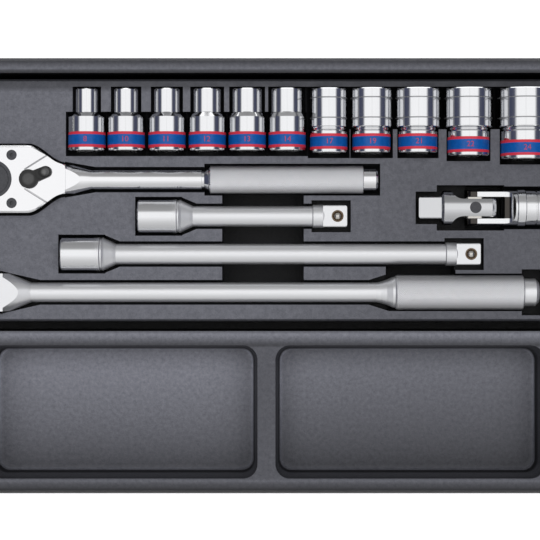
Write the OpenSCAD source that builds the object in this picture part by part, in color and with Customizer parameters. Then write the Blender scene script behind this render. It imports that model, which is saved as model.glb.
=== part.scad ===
// Half-inch-drive socket wrench set in an open moulded tray.
// The tray stands on z = 0, centred on x = y = 0. A tool insert lies in its well, and
// every tool lies in a seat of the insert with its axis level at axis_z.
// +x runs along the long tools, +y towards the row of sockets, +z up.

/* [Tray] */
// Length of the tray
tray_l = 455; // [448:1:500]
// Width of the tray
tray_w = 260; // [250:1:284]
// Height of the tray at its rim
tray_h = 38; // [37:0.5:44]
// Thickness of the tray's moulded walls
tray_wall = 2.5; // [1.5:0.1:3.5]
// Radius of the tray's outer corners
tray_corner = 12; // [6:1:20]
// Width of the land round the well and the parts bins
rim = 9.5; // [8:0.5:10]
// Width of the round-over along the tray's outer top edge
rim_round_w = 4; // [1:0.5:5]
// Height of the round-over along the tray's outer top edge
rim_round_h = 6; // [2:0.5:8]
// Lean of the tray's outer walls over their height
tray_draft = 1.6; // [0:0.2:3]
// Width of the tool well, across the tray
well_w = 153.4; // [151:0.2:156]
// Depth of the parts bins below the rim
bin_depth = 26; // [15:1:30]
// Length of one parts bin
bin_l = 160; // [100:1:190]
// Width of the wall between the two bins
bin_divider = 10.6; // [6:0.2:20]
// Width of the land between the well and the bins
mid_land = 8.4; // [6:0.2:10]
// Radius of the bins' corners
bin_corner = 8.6; // [4:0.2:14]
// Lean of the bins' walls over their depth
bin_draft = 2.4; // [0:0.2:4]
// Radius where the bins' walls meet their floor
bin_fillet = 3; // [1:0.5:5]

/* [Insert] */
// Height of the insert's top face above the underside of the tray
plateau_z = 34.5; // [33:0.5:36]
// Height of all tool axes above the underside of the tray
axis_z = 33; // [32:0.5:34]
// Clearance between the insert's foot flange and the well
insert_fit = 0.4; // [0.2:0.1:1]
// Width of the open groove round three sides of the insert's raised block
moat = 4.6; // [3:0.2:7]
// Width of the open groove along the row of sockets
moat_far = 2.2; // [1.6:0.2:3]
// Thickness of the insert's foot flange
flange_t = 3; // [2:0.5:5]
// Lean of the raised block's sides over their height
block_draft = 1.2; // [0:0.2:2]
// Bevel round the top edge of the raised block
block_bevel = 1.4; // [0.4:0.2:2]
// Clearance under a tool in its seat
seat_fit = 0.3; // [0.2:0.05:0.5]
// Clearance at each side of a tool in its seat
seat_side = 1.5; // [0.8:0.1:2]
// Depth of the finger wells below the tool axes
finger_depth = 24; // [15:1:26]

/* [Drive] */
// Side of the male drive squares
drive = 12.7; // [12.5:0.05:12.8]
// Length of the male drive squares
drive_l = 13.2; // [11:0.2:15]
// Side of the female drive squares
drive_bore = 12.95; // [12.9:0.05:13.2]
// Depth of the female drive squares
drive_bore_l = 15; // [14:0.5:17]
// Bevel along the edges of the male squares
drive_bevel = 0.5; // [0.2:0.1:1]
// Diameter of the detent balls
ball_d = 5; // [4:0.1:5.5]
// How far the detent balls stand out of the squares
ball_proud = 0.9; // [0.5:0.1:1.2]

/* [Sockets] */
// Bore sizes across flats
socket_size = [8, 10, 11, 12, 13, 14, 17, 19, 21, 22, 24];
// Place of each socket's axis along the tray
socket_x = [-107, -83.6, -59.3, -35.3, -11.5, 12.3, 37.1, 62.6, 90.2, 120.3, 153.6];
// Diameter of each bored end
socket_nose_d = [14, 15.2, 16.2, 17.2, 18.4, 19.6, 22.4, 25, 27.2, 29, 31.6];
// Diameter of each drive end
socket_drive_d = [22.4, 22.4, 22.4, 22.4, 22.4, 22.4, 22.4, 22.8, 23.4, 25, 28.2];
// Length of each socket
socket_l = [37, 37, 37, 37, 37, 37, 38.2, 38.2, 38.2, 40, 42];
// Distance from the well's far wall to the sockets' bored ends
socket_nose_in = 9.3; // [7.5:0.1:10.5]
// Length of the narrow nose on a stepped socket
nose_l = 14.5; // [12:0.5:18]
// Length of the wide barrel on a plain socket
barrel_l = 23; // [20:0.5:26]
// Length of the coloured size band
band_l = 9.2; // [5:0.2:10]
// Thickness of the coloured size band
band_t = 0.5; // [0.3:0.1:0.8]
// Distance from the drive end to the size band
band_end = 1.9; // [1:0.1:4]

/* [Ratchet] */
// Place of the ratchet's drive axis along the tray
ratchet_x = -161.8; // [-165:0.2:-160]
// Distance from the well's far wall to the ratchet's axis
ratchet_in = 63.3; // [62.5:0.1:64.5]
// Radius of the ratchet's head round the drive axis
head_r = 20; // [19.5:0.1:21]
// Thickness of the ratchet's head
head_t = 19; // [18:0.5:20]
// Distance from the drive axis to the root of the neck
head_l = 42.8; // [40:0.2:45]
// Width of the ratchet's head where it meets the neck
head_end_w = 17.4; // [15:0.2:18]
// Diameter of the round shanks
shank_d = 12.2; // [11:0.1:13]
// Diameter of the ratchet's knurled grip
grip_d = 16.4; // [15:0.1:18]
// Length of the ratchet's knurled grip
grip_l = 91.6; // [80:0.2:95]
// Length of the plain end of the ratchet's handle
grip_end_l = 8.6; // [5:0.2:10]
// Length of the ratchet from the drive axis to the end of the handle
ratchet_l = 228; // [225:0.2:231]
// Radius of the ratchet gear over its teeth
gear_r = 13.2; // [13:0.05:13.3]
// Height of the ratchet gear's teeth
tooth_h = 1; // [0.8:0.1:1.1]
// Radius of the gear's round hub in the cover plate
hub_r = 11.2; // [10.5:0.1:11.4]
// Distance from the drive axis to the reversing lever's axis
lever_x = 21.4; // [21.2:0.1:21.8]
// Angle of the reversing lever from the handle's line, either way
lever_throw = 22.5; // [15:0.5:25]

/* [Extensions] */
// Place of the short extension's far socket end along the tray
short_x = -76.6; // [-80:0.5:-70]
// Distance from the well's far wall to the short extension's axis
short_in = 85.1; // [84.5:0.1:85.5]
// Length of the short extension
short_l = 124.4; // [110:0.2:128]
// Place of the long extension's far socket end along the tray
long_x = -122.4; // [-126:0.5:-118]
// Distance from the well's far wall to the long extension's axis
long_in = 107.6; // [107:0.1:108]
// Length of the long extension
long_l = 249.4; // [240:0.2:252]
// Diameter of the extensions' socket ends
bell_d = 20.2; // [19:0.1:21]
// Length of the extensions' socket ends
bell_l = 25.4; // [22:0.2:28]
// Length of the cone from the socket end to the shank
bell_cone_l = 7.5; // [5:0.5:10]
// Diameter of the collar behind the drive square
collar_d = 13.8; // [13.4:0.1:14.4]
// Length of the collar behind the drive square
collar_l = 6.8; // [4:0.2:9]

/* [Flex handle] */
// Distance from the well's end wall to the flex handle's pivot
flex_end_in = 46; // [44:0.5:48]
// Distance from the well's far wall to the flex handle's axis
flex_in = 130.4; // [130:0.1:130.8]
// Distance from the pivot to the end of the handle
flex_l = 334; // [330:0.5:340]
// Width of the fork across its prongs
fork_w = 22.4; // [21:0.2:23]
// Thickness of the fork along its pin
fork_t = 17.6; // [16:0.2:18]
// Thickness of the swivel head's tongue
tongue_t = 8; // [7:0.1:9]
// Diameter of the flex handle's shank
flex_shank_d = 11.8; // [11:0.1:13]
// Diameter of the flex handle's knurled grip
flex_grip_d = 20.4; // [18:0.1:21]
// Length of the flex handle's knurled grip
flex_grip_l = 76; // [60:0.5:80]
// Length of the flex handle's plain end
flex_end_l = 9; // [6:0.5:12]
// Distance from the pivot to the tip of the swivel head
swivel_l = 33; // [32:0.2:34]
// Radius of the collar behind the swivel head's square
swivel_collar_r = 8.4; // [8:0.1:8.6]
// Diameter of the pivot pin
pivot_d = 6; // [5:0.1:7]

/* [Universal joint] */
// Place of the joint's crossing pins along the tray
cross_x = 123.6; // [122:0.2:125]
// Distance from the well's far wall to the joint's axis
cross_in = 80.1; // [79.6:0.1:80.6]
// Diameter of the joint's two yokes
yoke_d = 20.6; // [20:0.1:21]
// Distance from the pins to the tip of the drive square
yoke_male_l = 33.2; // [33:0.1:34]
// Distance from the pins to the open end of the socket yoke
yoke_female_l = 41.4; // [40:0.2:43]
// Width of the prongs
prong_w = 10.2; // [9.6:0.1:10.4]
// Side of the centre block
centre_w = 10.6; // [10.4:0.1:10.8]
// Length of the centre block between the socket yoke's prongs
centre_l = 12.6; // [12.4:0.1:13]
// Diameter of the crossing pins
cross_pin_d = 6.8; // [5:0.1:7]

/* [Hidden] */
$fn = 64;

// room past the ends of a tool in its seat
end_room = 1.6;
// the first sockets of the row have a nose narrower than the drive end
stepped_sockets = 6;
// teeth of the ratchet gear
gear_teeth = 36;

// extra length of every cut past the face that it goes through
cut = 1;
// clearance round a pin or shaft that turns in its bore
running = 0.05;
// clearance between flat faces that slide past each other
slide_gap = 0.2;
// clearance round parts that are pressed or glued together
push_gap = 0.02;
// open seam round the ratchet's cover plate
seam = 0.22;
// distance from the universal joint's pins to the ends of the square yoke's prongs
square_prong_l = 12.4;
// facets of the circles that are blended by a hull
blend_fn = 32;
// thickness of the thin slices that hulls are stretched over
slice = 0.02;

plastic = [0.33, 0.33, 0.36];
chrome = [0.80, 0.81, 0.83];
steel = [0.60, 0.61, 0.63];
dark_steel = [0.30, 0.31, 0.33];
blue = [0.02, 0.32, 0.62];

// places of the well and the bins across the tray
well_top_y = tray_w / 2 - rim;
well_bottom_y = well_top_y - well_w;
well_mid_y = (well_top_y + well_bottom_y) / 2;
well_l = tray_l - 2 * rim;
well_floor = tray_wall;
bin_top_y = well_bottom_y - mid_land;
bin_bottom_y = -tray_w / 2 + rim;
bin_w = bin_top_y - bin_bottom_y;
bin_mid_y = (bin_top_y + bin_bottom_y) / 2;
bin_mid_x = (bin_divider + bin_l) / 2;
well_corner = tray_corner - 3;
block_l = well_l - 2 * moat;
block_w = well_w - moat - moat_far;
block_mid_y = well_mid_y + (moat - moat_far) / 2;
detent_bore = ball_d + 2 * running;
detent_rest = drive / 2 + ball_proud - ball_d / 2;
detent_depth = 4.5;

// places of the tools, each from the wall of the well that its seat keeps to
socket_nose_y = well_top_y - socket_nose_in;
ratchet_y = well_top_y - ratchet_in;
short_y = well_top_y - short_in;
long_y = well_top_y - long_in;
flex_x = -well_l / 2 + flex_end_in;
// where the insert's fields meet: past the heads' seats, below the sockets' seats, and across the rows
heads_end_x = ratchet_x + 34.8;
field_y = ratchet_y + 10.3;
field_sockets_x = socket_x[6] - 7.1;
field_tools_x = -20;
flex_y = well_top_y - flex_in;
cross_y = well_top_y - cross_in;

// a flat plate with round corners, centred on the z axis
module rounded_plate(l, w, r, h, fn = $fn) {
    linear_extrude(h) {
        square([l - 2 * r, w], center = true);
        square([l, w - 2 * r], center = true);
        for (i = [-1, 1], j = [-1, 1]) translate([i * (l / 2 - r), j * (w / 2 - r)]) circle(r, $fn = fn);
    }
}

// a tub-shaped solid: full size at its top, drawn in by draft and by a floor radius below
module tub(l, w, r, h, draft, floor_r) {
    steps = 3;
    hull() {
        translate([0, 0, h - slice]) rounded_plate(l, w, r, slice, blend_fn);
        for (k = [0 : steps]) {
            a = 90 * k / steps;
            shrink = draft + floor_r * (1 - cos(a));
            translate([0, 0, floor_r * (1 - sin(a))])
                rounded_plate(l - 2 * shrink, w - 2 * shrink, r - shrink / 2, slice, blend_fn);
        }
    }
}

// ---------- tray ----------

module bin_cavities(grow) {
    h = bin_depth + grow + (grow > 0 ? 0 : slice);
    for (i = [-1, 1]) translate([i * bin_mid_x, bin_mid_y, tray_h - bin_depth - grow])
        tub(bin_l + 2 * grow, bin_w + 2 * grow, bin_corner + grow, h, bin_draft, bin_fillet + grow);
}

module tray() {
    foot = 2 * tray_draft;
    round_steps = 4;
    // the hollow below the bins runs from the front wall to the wall of the well
    under_y0 = -tray_w / 2 + tray_draft + tray_wall;
    under_y1 = well_bottom_y - tray_wall;
    under_w = under_y1 - under_y0;
    under_l = tray_l - 2 * (tray_draft + tray_wall);
    rib_x = bin_mid_x + bin_l / 2 + rim;
    color(plastic) difference() {
        hull() {
            rounded_plate(tray_l - foot, tray_w - foot, tray_corner - tray_draft, slice, blend_fn);
            for (k = [0 : round_steps]) {
                a = 90 * k / round_steps;
                in = rim_round_w * (1 - cos(a));
                translate([0, 0, tray_h - slice - rim_round_h * (1 - sin(a))])
                    rounded_plate(tray_l - 2 * in, tray_w - 2 * in, tray_corner - in, slice, blend_fn);
            }
        }
        translate([0, well_mid_y, well_floor])
            rounded_plate(well_l, well_w, well_corner, tray_h);
        bin_cavities(0);
        difference() {
            translate([0, (under_y0 + under_y1) / 2, -cut])
                rounded_plate(under_l, under_w, tray_corner - tray_wall, tray_h - tray_wall + cut);
            bin_cavities(tray_wall);
            for (i = [-1, 1]) translate([i * rib_x - tray_wall / 2, under_y0 - cut, -2 * cut])
                cube([tray_wall, under_w + 2 * cut, tray_h + 4 * cut]);
        }
    }
}

// ---------- seats in the insert ----------

// a trough along +x from the origin, round below and open above, for a round tool of diameter d
module trough(l, d, side = seat_side) {
    r = d / 2 + side;
    translate([0, 0, side - seat_fit]) rotate([0, 90, 0]) cylinder(r = r, h = l);
    translate([0, -r, side - seat_fit]) cube([l, 2 * r, tray_h]);
}

// a flat-bottomed pocket from the origin along +x, w wide and going depth below the tool axes
module pocket(l, w, depth) {
    translate([0, -w / 2, -depth]) cube([l, w, depth + tray_h]);
}

// a plan outline sunk to depth below the tool axes
module sunk(depth) {
    translate([0, 0, -depth]) linear_extrude(depth + tray_h) children();
}

// a cone-sided funnel in the plan of a trough, from half-width a to half-width b over l
module funnel(l, a, b, depth) {
    sunk(depth) polygon([[0, -a], [l, -b], [l, b], [0, a]]);
}

// Pillars stand between the stepped noses and between the large drive ends; elsewhere the
// seats run into each other.
module socket_seats() {
    end_gap = 1.4;
    barrel_side = 2.6;
    close_side = 1.3;
    large_side = 0.6;
    for (i = [0 : len(socket_size) - 1]) {
        stepped = i < stepped_sockets;
        bored_l = stepped ? nose_l : barrel_l;
        nose_side = stepped ? seat_side : barrel_side;
        drive_side = i < 8 ? close_side : large_side;
        translate([socket_x[i], socket_nose_y, 0]) rotate([0, 0, -90]) {
            translate([-end_gap, 0, 0]) trough(bored_l + end_gap + 1, socket_nose_d[i], nose_side);
            translate([bored_l - 1, 0, 0]) trough(socket_l[i] - bored_l + 4, socket_drive_d[i], drive_side);
        }
    }
}

module ratchet_seat() {
    gap = seat_side;
    neck_l = 17;
    shank_x = head_l + neck_l - 1;
    grip_x = ratchet_l - grip_end_l - grip_l - 3;
    depth = head_t / 2 + seat_fit;
    translate([ratchet_x, ratchet_y, 0]) {
        sunk(depth) ratchet_head_plan(gap);
        cylinder(r = drive / 2 * sqrt(2) + 2, h = 2 * (head_t / 2 + drive_l + 3), center = true);
        translate([head_l - cut, 0, 0])
            funnel(neck_l + cut, head_end_w / 2 + gap + cut / 2, shank_d / 2 + gap, depth);
        translate([shank_x, 0, 0]) trough(grip_x - shank_x + cut, shank_d);
        translate([grip_x, 0, 0]) trough(ratchet_l - grip_x + gap, grip_d, gap - 0.2);
    }
}

module extension_seat(l) {
    cone_x = bell_l + bell_cone_l;
    tip_room = 2.4;
    tip_w = collar_d + 5.2;
    bell_half = bell_d / 2 + seat_side;
    translate([-end_room, 0, 0]) trough(bell_l + end_room + 1, bell_d);
    translate([bell_l, 0, 0])
        funnel(bell_cone_l + 2, bell_half, shank_d / 2 + seat_side, bell_d / 2 + seat_fit);
    translate([cone_x, 0, 0]) trough(l - cone_x, shank_d);
    translate([l - drive_l - collar_l - 1, 0, 0])
        pocket(drive_l + collar_l + 1 + tip_room, tip_w, collar_d / 2 + seat_fit);
}

module flex_seat() {
    fork_end = 15;
    cone_l = 17;
    grip_x = flex_l - flex_end_l - flex_grip_l;
    reach = sqrt(pow(swivel_l, 2) + pow(drive / 2, 2)) + 1.4;
    bay_depth = swivel_collar_r + 0.4;
    bay_side = swivel_collar_r + 1;
    depth = fork_t / 2 + seat_fit;
    fork_half = fork_w / 2 + seat_side;
    shank_half = flex_shank_d / 2 + seat_side;
    translate([flex_x, flex_y, 0]) {
        // the fork and the cone behind it
        translate([-fork_w / 2 - 1, 0, 0]) pocket(fork_w / 2 + fork_end + 1, 2 * fork_half, depth);
        translate([fork_end - cut, 0, 0]) funnel(cone_l + 6, fork_half, shank_half, depth);
        // the bay that the swivel head swings through
        translate([0, 0, -bay_depth]) difference() {
            cylinder(r = reach, h = tray_h);
            translate([bay_side, -2 * reach, -cut]) cube([2 * reach, 4 * reach, tray_h + 2 * cut]);
            translate([-2 * reach, -2 * reach - bay_side, -cut])
                cube([4 * reach, 2 * reach, tray_h + 2 * cut]);
        }
        // the shank, the flare, the grip and the wider finger space at its end
        translate([fork_end + cone_l, 0, 0]) trough(grip_x - fork_end - cone_l, flex_shank_d);
        translate([grip_x - 16, 0, 0])
            funnel(12, shank_half, flex_grip_d / 2 + 1, flex_grip_d / 2 + seat_fit);
        translate([grip_x - 4, 0, 0]) trough(flex_grip_l + flex_end_l + 6, flex_grip_d, 1);
        translate([flex_l - flex_end_l - 1, 0, 0])
            pocket(flex_end_l + 5, flex_grip_d + 7, flex_grip_d / 2 + 3);
    }
}

module joint_seat() {
    bell_x = 18;
    square_w = drive + 6.7;
    body_w = yoke_d + 6.4;
    body_x = -yoke_male_l + drive_l - 2.2;
    depth = yoke_d / 2 + seat_fit;
    sweep = sqrt(pow(square_prong_l, 2) + pow(yoke_d / 2, 2)) + 1.1;
    translate([cross_x, cross_y, 0]) {
        translate([-yoke_male_l - end_room, 0, 0]) pocket(yoke_male_l, square_w, depth);
        translate([body_x, 0, 0]) pocket(bell_x - body_x, body_w, depth);
        // room under the crossing pins for the prongs to swing down
        translate([-4, 0, 0]) pocket(bell_x + 4, body_w, sweep);
        translate([bell_x - cut, 0, 0]) trough(yoke_female_l - bell_x + 3, yoke_d + 1.8, 1.6);
    }
}

// wells that let fingers in under the tools
module finger_wells() {
    middle = [48.6, 57.5, tray_h];
    middle_x = -26.4;
    right = [41.6, 10.8, tray_h];
    right_x = 71;
    z = axis_z - finger_depth;
    translate([middle_x, flex_y + 1.9, z]) cube(middle);
    translate([right_x, flex_y + 4.9, z]) cube(right);
}

// the insert is one moulding, drawn as fields of seats that meet edge to edge
module insert_moulding() {
    base_z = well_floor;
    h = plateau_z - base_z;
    side_in = 2 * block_draft;
    top_in = side_in + 2 * block_bevel;
    block_r = well_corner - 2;
    foot_in = 2 * insert_fit;
    difference() {
        union() {
            translate([0, well_mid_y, base_z])
                rounded_plate(well_l - foot_in, well_w - foot_in, well_corner - insert_fit, flange_t);
            translate([0, block_mid_y, base_z]) hull() {
                rounded_plate(block_l, block_w, block_r, slice, blend_fn);
                translate([0, 0, h - block_bevel])
                    rounded_plate(block_l - side_in, block_w - side_in, block_r, slice, blend_fn);
                translate([0, 0, h - slice])
                    rounded_plate(block_l - top_in, block_w - top_in, block_r - 1, slice, blend_fn);
            }
        }
        translate([0, 0, axis_z]) {
            socket_seats();
            ratchet_seat();
            translate([short_x, short_y, 0]) extension_seat(short_l);
            translate([long_x, long_y, 0]) extension_seat(long_l);
            flex_seat();
            joint_seat();
        }
        finger_wells();
    }
}

// the part of the moulding between two corners of its plan
module insert_field(low, high) {
    size = high - low;
    color(plastic) intersection() {
        insert_moulding();
        translate([low[0], low[1], 0]) cube([size[0], size[1], tray_h]);
    }
}

module insert_heads() { insert_field([-tray_l, -tray_w], [heads_end_x, tray_w]); }
module insert_sockets_left() { insert_field([heads_end_x, field_y], [field_sockets_x, tray_w]); }
module insert_sockets_right() { insert_field([field_sockets_x, field_y], [tray_l, tray_w]); }
module insert_tools_left() { insert_field([heads_end_x, -tray_w], [field_tools_x, field_y]); }
module insert_tools_right() { insert_field([field_tools_x, -tray_w], [tray_l, field_y]); }

// ---------- shared tool details ----------

// a square bar along +x from the origin with bevelled long edges and a bevelled tip
module drive_square(l) {
    s = drive / 2;
    b = drive_bevel;
    tip = 0.8;
    rotate([90, 0, 90]) linear_extrude(l - tip) polygon([
        [-s + b, -s], [s - b, -s], [s, -s + b], [s, s - b],
        [s - b, s], [-s + b, s], [-s, s - b], [-s, -s + b]
    ]);
    translate([l - tip - cut, 0, 0]) intersection() {
        rotate([0, 90, 0]) cylinder(r1 = s * sqrt(2) + cut, r2 = s * sqrt(2) - tip * 1.2, h = tip + cut);
        translate([0, -s + b / 2, -s + b / 2]) cube([tip + cut, 2 * s - b, 2 * s - b]);
    }
}

// the blind bore for a detent ball and its spring, opening towards +z at z = drive / 2
module detent_cut() {
    translate([0, 0, -detent_depth]) cylinder(d = detent_bore, h = detent_depth + drive);
    translate([0, 0, drive / 2 - 1]) cylinder(d1 = detent_bore, d2 = detent_bore + 4, h = 2);
}

module detent_ball() {
    color(steel) translate([0, 0, detent_rest]) sphere(d = ball_d);
}

// points of a round-wire coil round the z axis, for a spring of radius r from z0 to z1
function coil_ring(r, wire, a, z, sides) = [
    for (s = [0 : sides - 1]) let (b = 360 * s / sides, q = r + wire * cos(b))
        [q * cos(a), q * sin(a), z + wire * sin(b)]
];

module coil(r, wire, z0, z1, turns, per_turn = 12, sides = 6) {
    n = turns * per_turn;
    rise = (z1 - z0 - 2 * wire) / n;
    points = [for (k = [0 : n]) each coil_ring(r, wire, 360 * k / per_turn, z0 + wire + rise * k, sides)];
    faces = concat(
        [[for (s = [0 : sides - 1]) s]],
        [for (k = [0 : n - 1], s = [0 : sides - 1]) let (t = (s + 1) % sides)
            [k * sides + s, (k + 1) * sides + s, (k + 1) * sides + t, k * sides + t]],
        [[for (s = [sides - 1 : -1 : 0]) n * sides + s]]
    );
    polyhedron(points, faces, convexity = 6);
}

module detent_spring() {
    color(steel) coil(1.7, 0.3, -detent_depth, detent_rest - ball_d / 2 + 0.1, 5);
}

// ---------- sockets ----------

// a turned profile about the y axis, from the drive end at y = 0 to the bored end at y = l
module turned() {
    rotate([-90, 0, 0]) rotate_extrude() children();
}

module socket(i) {
    l = socket_l[i];
    r = socket_drive_d[i] / 2;
    nose = socket_nose_d[i] / 2;
    stepped = i < stepped_sockets;
    shoulder = l - (stepped ? nose_l : barrel_l);
    groove = r - band_t;
    hex_l = l - drive_bore_l - 4;
    bevel = 0.5;
    color(chrome) translate([socket_x[i], socket_nose_y - l, axis_z]) difference() {
        turned() {
            difference() {
                polygon(stepped
                    ? [[0, 0], [r - bevel, 0], [r, bevel], [r, shoulder - 2.4], [nose + 0.4, shoulder],
                       [nose, shoulder + 0.4], [nose, l - bevel], [nose - bevel, l], [0, l]]
                    : [[0, 0], [r - bevel, 0], [r, bevel], [r, shoulder - 2.6], [r - 0.9, shoulder - 1.6],
                       [min(r, nose) - 0.6, shoulder - 0.6], [nose - bevel, shoulder],
                       [nose, shoulder + bevel], [nose, l - bevel], [nose - bevel, l], [0, l]]);
                translate([groove, band_end]) square([r, band_l]);
                // two fine rings round a plain barrel
                if (!stepped) for (y = [shoulder + 5, l - 6]) translate([nose - 0.35, y]) square([1, 0.7]);
            }
        }
        // drive square, relief and hexagon
        translate([-drive_bore / 2, -cut, -drive_bore / 2])
            cube([drive_bore, drive_bore_l + cut, drive_bore]);
        rotate([-90, 0, 0]) cylinder(d = min(socket_size[i], drive_bore) * 0.94, h = l);
        translate([0, l - hex_l, 0]) rotate([-90, 0, 0]) rotate([0, 0, 30])
            cylinder(d = (socket_size[i] + 0.12) / cos(30), h = hex_l + cut, $fn = 6);
        translate([0, l - 0.9, 0]) rotate([-90, 0, 0])
            cylinder(d1 = socket_size[i], d2 = socket_size[i] / cos(30) + 1, h = 0.9 + slice);
        // round recess for the detent ball
        translate([0, drive_bore_l / 2, 0]) rotate([-90, 0, 0]) cylinder(d = drive_bore + 1.8, h = 3.4);
    }
}

module size_band(i) {
    r = socket_drive_d[i] / 2;
    section = [band_t - push_gap, band_l - 2 * push_gap];
    color(blue) translate([socket_x[i], socket_nose_y - socket_l[i], axis_z]) turned()
        translate([r - band_t + push_gap, band_end + push_gap]) square(section);
}

// ---------- ratchet ----------

cover_t = 2.6;
cavity_bottom = -head_t / 2 + 4.6;
cover_z = head_t / 2 - cover_t;
pawl_pivot = gear_r + 2.7;
pawl_tilt = 8;
pawl_t = 8.4;
lever_cap_r = 5.6;
screw_r = 1.5;
screw_head_r = 3.1;
screw_places = [for (p = [[0.56, 0.71], [-0.49, 0.59]], j = [-1, 1]) [p[0] * head_r, j * p[1] * head_r]];

// one side of the head's sweep from its full width down to the neck, grown by g
function head_sweep(side, g, steps = 16) = [
    for (k = [0 : steps]) let (u = k / steps, full = head_r + g, end = head_end_w / 2 + g)
        [head_r + (head_l - head_r) * u, side * (end + (full - end) * (1 + cos(180 * u)) / 2)]
];

// plan of the pear-shaped head round the drive axis, grown by g
module ratchet_head_plan(g) {
    lower = head_sweep(-1, g);
    upper = head_sweep(1, g);
    back = [for (a = [90 : 5 : 270]) [(head_r + g) * cos(a), (head_r + g) * sin(a)]];
    polygon(concat(back, lower, [for (k = [len(upper) - 1 : -1 : 0]) upper[k]]));
}

// plan of the cover plate's open side: a round-nosed wedge about the reversing lever
module lever_wedge(g) {
    r = lever_cap_r + 1 + g;
    slope = 32;
    reach = 30;
    steps = 12;
    turn = (180 - 2 * slope) / steps;
    nose = [for (k = [0 : steps]) [r * cos(90 + slope + k * turn), r * sin(90 + slope + k * turn)]];
    side = [reach * cos(slope), reach * sin(slope)];
    far = [nose[0][0] + side[0], nose[0][1] + side[1]];
    translate([lever_x + 0.8, 0]) polygon(concat(nose, [[far[0], -far[1]], far]));
}

module cover_plan(g) {
    difference() {
        ratchet_head_plan(-1.3 + g);
        lever_wedge(-g);
    }
}

// ring of symmetric flat-topped teeth on the root circle
module gear_plan(grow) {
    step = 360 / gear_teeth;
    root = gear_r - tooth_h + grow;
    tip = gear_r + grow;
    polygon([for (k = [0 : gear_teeth - 1], q = [[0, root], [0.38, tip], [0.62, tip]])
        let (a = (k + q[0]) * step) [q[1] * cos(a), q[1] * sin(a)]]);
}

module ratchet_handle() {
    neck_l = 16;
    neck_r = 10.4;
    grip_x = ratchet_l - grip_end_l - grip_l;
    flat = 7.7;
    chamber_h = pawl_t + 1;
    chamber_w = 18.8;
    color(chrome) translate([ratchet_x, ratchet_y, axis_z]) difference() {
        union() {
            // the head, bevelled above and below as far as it widens
            intersection() {
                hull() {
                    translate([0, 0, -head_t / 2]) linear_extrude(slice) ratchet_head_plan(-1);
                    translate([0, 0, -head_t / 2 + 1]) linear_extrude(head_t - 2) ratchet_head_plan(0);
                    translate([0, 0, head_t / 2 - slice]) linear_extrude(slice) ratchet_head_plan(-1);
                }
                translate([0, 0, -head_t]) linear_extrude(2 * head_t) ratchet_head_plan(-0.05);
            }
            // neck: a cone with a flat above and below
            intersection() {
                translate([head_l - 2, 0, 0]) rotate([0, 90, 0])
                    cylinder(r1 = neck_r, r2 = shank_d / 2 - 0.2, h = neck_l + 2);
                translate([head_l - 3, -head_end_w / 2 + 0.4, -flat])
                    cube([neck_l + 4, head_end_w - 0.8, 2 * flat]);
            }
            rotate([0, 90, 0]) rotate_extrude() polygon([
                [0, head_l], [shank_d / 2, head_l], [shank_d / 2, grip_x - 4.6],
                [shank_d / 2 - 0.7, grip_x - 4.4], [shank_d / 2 - 0.7, grip_x - 3],
                [grip_d / 2 - 1.2, grip_x - 0.4], [grip_d / 2 - 0.5, grip_x], [grip_d / 2, grip_x + 0.8],
                [grip_d / 2, grip_x + grip_l - 0.8], [grip_d / 2 - 0.6, grip_x + grip_l],
                [grip_d / 2 - 1.4, grip_x + grip_l + 0.2], [grip_d / 2 - 1.4, ratchet_l - 1.2],
                [grip_d / 2 - 2.4, ratchet_l], [0, ratchet_l]
            ]);
        }
        // seat of the cover plate, gear chamber and the bore of the gear's lower hub
        translate([0, 0, cover_z]) linear_extrude(cover_t + cut) cover_plan(seam);
        translate([0, 0, cavity_bottom]) cylinder(r = gear_r + 0.3, h = head_t);
        translate([0, 0, -head_t]) cylinder(r = hub_r - 1.6 + running, h = head_t);
        // chamber of the pawl
        translate([0, 0, cavity_bottom]) linear_extrude(chamber_h) intersection() {
            translate([8, -chamber_w / 2]) square([pawl_pivot - 6, chamber_w]);
            circle(pawl_pivot + 3);
        }
        // bore of the reversing lever, the space for its plunger, and the hole of the pawl's pin
        translate([lever_x, 0, cavity_bottom]) cylinder(r = 3.6 + running, h = head_t);
        translate([lever_x, 0, cavity_bottom]) cylinder(r = 4.7, h = chamber_h);
        translate([lever_x, 0, head_t / 2 - 1.2]) cylinder(r = lever_cap_r + 0.1 + slide_gap, h = 2);
        translate([pawl_pivot, 0, -head_t / 2 + 1.6]) cylinder(r = 1.2, h = head_t / 2);
        // threads of the cover screws
        for (p = screw_places) translate([p[0], p[1], -1]) cylinder(r = screw_r, h = head_t);
    }
}

module ratchet_cover_plate() {
    color(chrome) translate([ratchet_x, ratchet_y, axis_z]) difference() {
        translate([0, 0, cover_z]) linear_extrude(cover_t) cover_plan(0);
        translate([0, 0, cover_z - cut]) cylinder(r = hub_r + running, h = cover_t + 2 * cut);
        for (p = screw_places) translate([p[0], p[1], 0]) {
            cylinder(r = screw_r + running, h = head_t);
            translate([0, 0, head_t / 2 - 1.7]) cylinder(r1 = screw_r, r2 = screw_head_r, h = 1.7 + slice);
        }
    }
}

module ratchet_cover_screws() {
    color(dark_steel) translate([ratchet_x, ratchet_y, axis_z])
        for (p = screw_places) translate([p[0], p[1], 0]) difference() {
            union() {
                cylinder(r = screw_r - push_gap, h = head_t / 2 - 0.2);
                translate([0, 0, head_t / 2 - 1.7])
                    cylinder(r1 = screw_r - push_gap, r2 = screw_head_r - push_gap, h = 1.7);
            }
            translate([0, 0, head_t / 2 - 1.2]) cylinder(r = 1.2, h = 2, $fn = 6);
        }
}

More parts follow.
